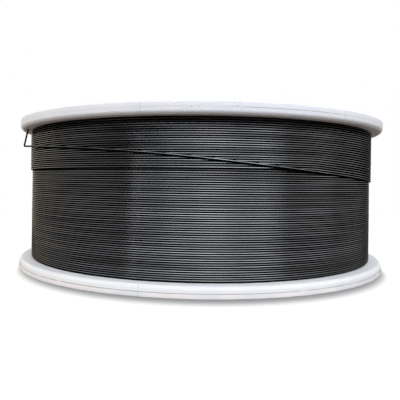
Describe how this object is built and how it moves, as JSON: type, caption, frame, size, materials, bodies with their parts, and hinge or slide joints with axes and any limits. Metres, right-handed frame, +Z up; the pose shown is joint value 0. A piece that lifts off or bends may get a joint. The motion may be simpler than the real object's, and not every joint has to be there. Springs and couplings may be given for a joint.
{
  "type": "spool of welding wire",
  "caption": "Flanged white plastic spool full of dark steel welding wire, its outer end slanting over the winding and hooked into the upper flange.",
  "frame": {"origin": "middle of the lower end face, on the spool's axis", "axes": "+Z up along the spool's axis, -Y towards the picture's camera"},
  "size_m": [0.27, 0.27, 0.103],
  "materials": {
    "spool_plastic": "white moulded polystyrene, lightly scuffed",
    "wire_steel": "dark drawn steel wire with a thin film of drawing soap"
  },
  "bodies": {
    "root": {"spool": "spool_plastic", "wire_coil": "wire_steel", "wire_end": "wire_steel"}
  },
  "joints": []
}
